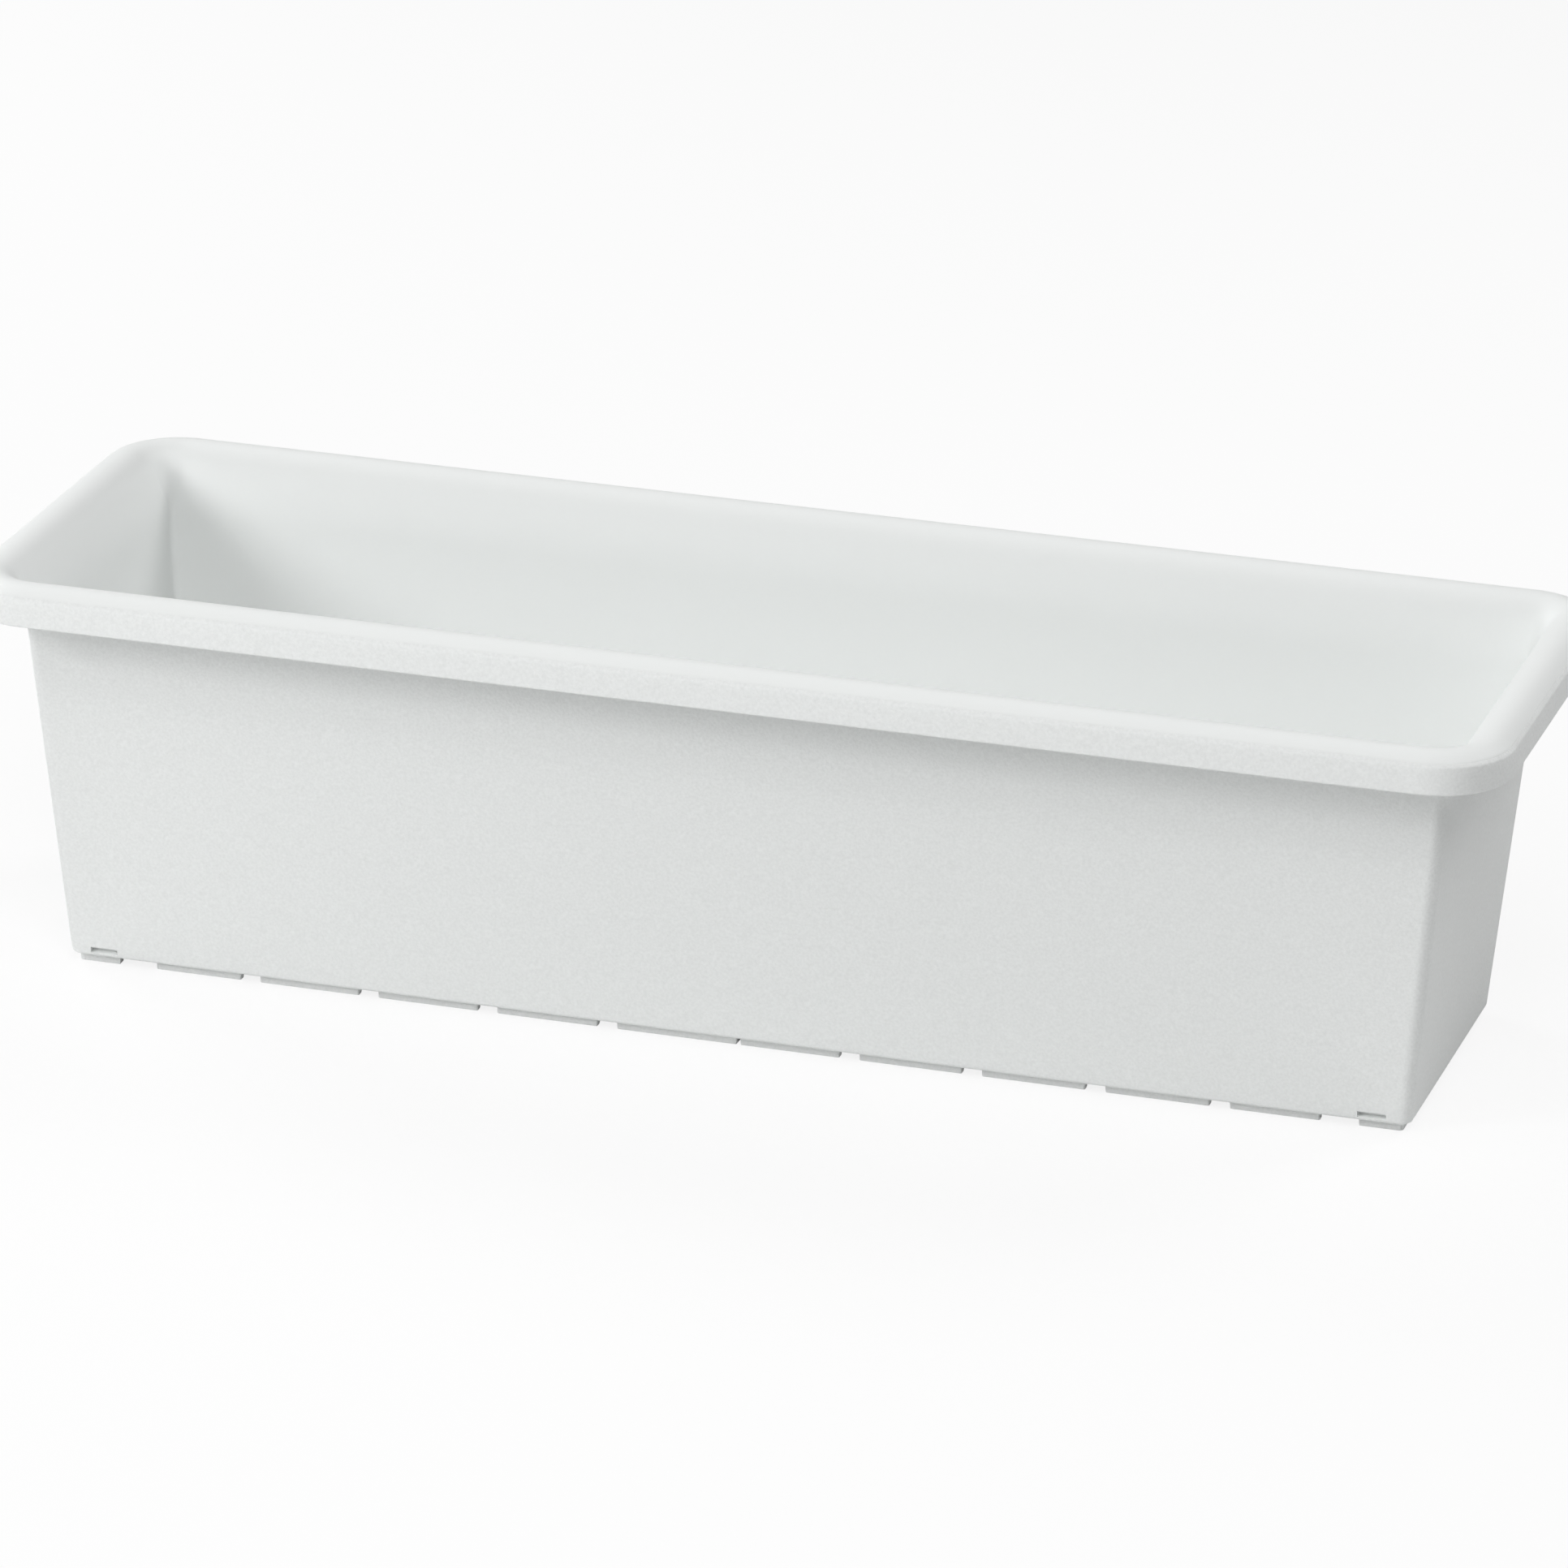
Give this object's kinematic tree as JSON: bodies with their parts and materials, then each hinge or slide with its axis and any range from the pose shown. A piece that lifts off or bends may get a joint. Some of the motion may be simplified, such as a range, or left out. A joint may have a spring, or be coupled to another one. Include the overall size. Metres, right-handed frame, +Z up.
{
  "type": "window box planter",
  "caption": "Long rectangular window box with leaning walls, a wide rolled rim that is hollow underneath, short feet, lift-out reservoir grids and pull-out drain plugs.",
  "frame": {"origin": "centre of the footprint, on the surface that the feet stand on", "axes": "+X along the box to the right seen from the front, +Y to the back, +Z up"},
  "size_m": [0.6, 0.199, 0.1625],
  "materials": {
    "shell_plastic": "fine spark-eroded matte",
    "grid_plastic": "plain moulded matte",
    "plug_plastic": "soft satin"
  },
  "bodies": {
    "box": {"planter_box": "shell_plastic"},
    "grid_right": {"reservoir_grid_right": "grid_plastic"},
    "grid_left": {"reservoir_grid_left": "grid_plastic"},
    "plug_right": {"drain_plug_right": "plug_plastic"},
    "plug_left": {"drain_plug_left": "plug_plastic"}
  },
  "joints": [
    {"name": "grid_right_lift", "type": "slide", "parent": "box", "child": "grid_right", "axis": [0, 0, 1], "range_m": [0, 0.2]},
    {"name": "grid_left_lift", "type": "slide", "parent": "box", "child": "grid_left", "axis": [0, 0, 1], "range_m": [0, 0.2]},
    {"name": "plug_right_pull", "type": "slide", "parent": "box", "child": "plug_right", "axis": [0, 0, -1], "range_m": [0, 0.012]},
    {"name": "plug_left_pull", "type": "slide", "parent": "box", "child": "plug_left", "axis": [0, 0, -1], "range_m": [0, 0.012]}
  ]
}
